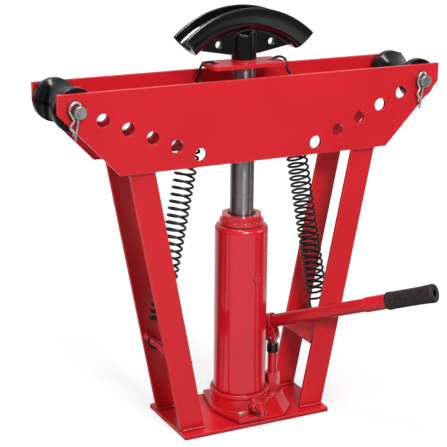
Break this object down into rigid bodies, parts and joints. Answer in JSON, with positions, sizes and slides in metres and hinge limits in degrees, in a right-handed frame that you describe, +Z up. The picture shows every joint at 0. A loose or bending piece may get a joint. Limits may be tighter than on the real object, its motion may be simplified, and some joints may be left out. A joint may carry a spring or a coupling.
{
  "type": "hydraulic pipe bender",
  "caption": "Bottle jack in a welded four-legged frame that pushes a grooved bending die up between two waisted rollers, with return springs and a pump handle.",
  "frame": {"origin": "centre of the floor plate's underside, on the jack's axis", "axes": "+Z up along the ram, X along the side plates and from roller to roller, the release valve faces -Y and the pump stands on the +X side"},
  "size_m": [0.605, 0.2849, 0.6175],
  "materials": {
    "red_paint": "glossy red enamel",
    "polished_steel": "polished",
    "zinc_steel": "bright zinc plating",
    "black_cast_iron": "glossy black enamel",
    "black_spring_steel": "black enamel",
    "black_rubber": "moulded"
  },
  "bodies": {
    "frame": {"base_gasket": "black_rubber", "base_plate": "red_paint", "check_balls": "polished_steel", "cross_plate_left": "red_paint", "cross_plate_right": "red_paint", "foot_pin": "zinc_steel", "fulcrum_arm": "red_paint", "jack_base": "red_paint", "jack_screws": "zinc_steel", "leg_back_left": "red_paint", "leg_back_right": "red_paint", "leg_front_left": "red_paint", "leg_front_right": "red_paint", "pressure_cylinder": "polished_steel", "pump_cylinder": "red_paint", "pump_nut": "black_spring_steel", "pump_seal": "black_rubber", "reservoir_tube": "red_paint", "return_spring_left": "black_spring_steel", "return_spring_right": "black_spring_steel", "side_plate_back": "red_paint", "side_plate_front": "red_paint", "top_gasket": "black_rubber", "top_nut": "red_paint", "top_ring": "red_paint", "valve_nut": "red_paint", "weld_beads": "red_paint", "wiper_seal": "black_rubber"},
    "ram": {"ram_rod": "polished_steel", "piston": "polished_steel", "piston_seal": "black_rubber", "spring_bracket": "red_paint"},
    "die": {"bending_die": "black_cast_iron"},
    "left roller": {"roller_left": "black_cast_iron"},
    "right roller": {"roller_right": "black_cast_iron"},
    "left pin": {"roller_pin_left": "zinc_steel", "r_clip_left": "zinc_steel"},
    "right pin": {"roller_pin_right": "zinc_steel", "r_clip_right": "zinc_steel"},
    "lever": {"pump_lever": "red_paint", "fulcrum_pin": "zinc_steel", "plunger_pin": "zinc_steel"},
    "plunger": {"pump_plunger": "polished_steel"},
    "lower handle": {"handle_lower_tube": "red_paint"},
    "upper handle": {"handle_upper_tube": "red_paint", "handle_grip": "black_rubber"},
    "valve": {"release_valve": "red_paint"},
    "filler plug": {"filler_plug": "black_rubber"}
  },
  "joints": [
    {"name": "ram_slide", "type": "slide", "parent": "frame", "child": "ram", "axis": [0, 0, 1], "range_m": [-0.205, 0.015], "deforming": ["return_spring_left", "return_spring_right"]},
    {"name": "die_lift_off", "type": "slide", "parent": "ram", "child": "die", "axis": [0, 0, 1], "range_m": [0, 0.04]},
    {"name": "left_roller_spin", "type": "hinge", "parent": "frame", "child": "left roller", "pos_m": [-0.272, 0, 0.5], "axis": [0, 1, 0], "continuous": true},
    {"name": "right_roller_spin", "type": "hinge", "parent": "frame", "child": "right roller", "pos_m": [0.272, 0, 0.5], "axis": [0, 1, 0], "continuous": true},
    {"name": "left_pin_turn", "type": "hinge", "parent": "frame", "child": "left pin", "pos_m": [-0.272, 0, 0.5], "axis": [0, 1, 0], "continuous": true},
    {"name": "right_pin_turn", "type": "hinge", "parent": "frame", "child": "right pin", "pos_m": [0.272, 0, 0.5], "axis": [0, 1, 0], "continuous": true},
    {"name": "pump_lever_swing", "type": "hinge", "parent": "frame", "child": "lever", "pos_m": [0.04746, 0.02418, 0.1162], "axis": [-0.8387, -0.5446, 0], "range_deg": [0, 40]},
    {"name": "plunger_stroke", "type": "slide", "parent": "frame", "child": "plunger", "axis": [0, 0, 1], "range_m": [0, 0.0166]},
    {"name": "handle_pull_out", "type": "slide", "parent": "lever", "child": "lower handle", "axis": [0.5118, -0.7881, 0.342], "range_m": [0, 0.025]},
    {"name": "upper_handle_pull_off", "type": "slide", "parent": "lower handle", "child": "upper handle", "axis": [0.5118, -0.7881, 0.342], "range_m": [0, 0.04]},
    {"name": "release_valve_turn", "type": "hinge", "parent": "frame", "child": "valve", "pos_m": [0.002, -0.06, 0.025], "axis": [0, -1, 0], "range_deg": [0, 360]},
    {"name": "filler_plug_pull_out", "type": "slide", "parent": "frame", "child": "filler plug", "axis": [0.1736, -0.9848, 0], "range_m": [0, 0.015]}
  ],
  "couplings": [
    {"joint": "plunger_stroke", "follows": "pump_lever_swing", "m_per_rad": 0.02348}
  ]
}
